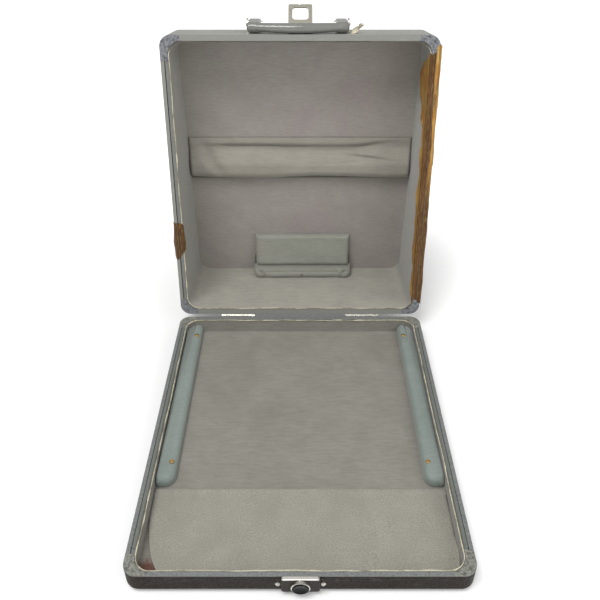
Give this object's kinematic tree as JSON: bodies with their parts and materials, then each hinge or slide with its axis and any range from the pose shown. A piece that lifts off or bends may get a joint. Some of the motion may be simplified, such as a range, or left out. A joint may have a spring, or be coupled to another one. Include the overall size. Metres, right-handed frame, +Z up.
{
  "type": "portable typewriter case",
  "caption": "Wedge-shaped portable typewriter case, opened flat: shallow lined base tray, deep hinged lid, push-button lock, window hasp and folding carrying handle.",
  "frame": {"origin": "on the table under the middle of the open case's bounding box", "axes": "+X to the case's right seen from its front, +Y from the front towards the hinged rear, +Z up"},
  "size_m": [0.3656, 0.5728, 0.4615],
  "materials": {
    "wood": "plain plywood and softwood, hidden under the covering",
    "covered_wood": "wood strip covered with the grey lining cloth",
    "leathercloth": "worn blue-grey leathercloth with a fine pebble grain",
    "lining_cloth": "grey woven lining with a horizontal slub",
    "edging": "frayed cream edging",
    "felt": "grey felt",
    "rail_cloth": "blue-grey cloth over padding",
    "brass": "dull brass",
    "nickel": "worn nickel plate",
    "tarnished_steel": "tarnished plated steel",
    "rubber": "black rubber",
    "button_plastic": "black moulded plastic",
    "handle_plastic": "glossy mid-grey moulded plastic",
    "tape": "aged kraft repair tape"
  },
  "bodies": {
    "base": {"base_side_left": "wood", "base_side_right": "wood", "base_front_board": "wood", "base_rear_board": "wood", "base_floor_board": "wood", "base_covering": "leathercloth", "base_strip_left": "covered_wood", "base_strip_right": "covered_wood", "base_wall_lining": "lining_cloth", "base_floor_lining": "lining_cloth", "base_edging": "edging", "floor_pad": "felt", "rail_left": "rail_cloth", "rail_right": "rail_cloth", "rail_screws": "brass", "glide_front_left": "nickel", "glide_front_right": "nickel", "glide_rear_left": "nickel", "glide_rear_right": "nickel", "base_feet": "rubber", "hinge_base_leaves": "nickel", "hinge_pins": "nickel", "hinge_base_screws": "nickel", "lock_case": "tarnished_steel", "lock_collar": "nickel", "lock_screws": "nickel"},
    "lid": {"lid_side_left": "wood", "lid_side_right": "wood", "lid_front_board": "wood", "lid_rear_board": "wood", "lid_top_board": "wood", "lid_covering": "leathercloth", "lid_strip_left": "covered_wood", "lid_strip_right": "covered_wood", "lid_ceiling": "lining_cloth", "lid_wall_lining": "lining_cloth", "lid_edging": "edging", "lid_bolster": "lining_cloth", "lid_rear_pad": "lining_cloth", "lid_feet": "rubber", "hinge_lid_leaves": "nickel", "hinge_lid_screws": "nickel", "repair_tape_right": "tape", "repair_tape_left": "tape", "handle_brackets": "nickel", "bracket_rivets": "nickel", "handle_pins": "nickel", "hasp_base": "nickel", "hasp_rivets": "nickel", "hasp_pin": "nickel"},
    "handle": {"handle_grip": "handle_plastic"},
    "hasp": {"hasp_plate": "nickel"},
    "button": {"lock_button": "button_plastic"}
  },
  "joints": [
    {"name": "lid_hinge", "type": "hinge", "parent": "base", "child": "lid", "pos_m": [0, 0.13414, 0.0312], "axis": [1, 0, 0], "range_deg": [0, 100.05]},
    {"name": "handle_pivot", "type": "hinge", "parent": "lid", "child": "handle", "pos_m": [0, 0.25537, 0.43879], "axis": [-1, 0, 0], "range_deg": [0, 165]},
    {"name": "hasp_hinge", "type": "hinge", "parent": "lid", "child": "hasp", "pos_m": [0, 0.22517, 0.43745], "axis": [1, 0, 0], "range_deg": [0, 72]},
    {"name": "button_press", "type": "slide", "parent": "base", "child": "button", "axis": [0, 1, 0], "range_m": [0, 0.0025], "stiffness_N_per_m": 400, "springref_m": -0.001}
  ]
}
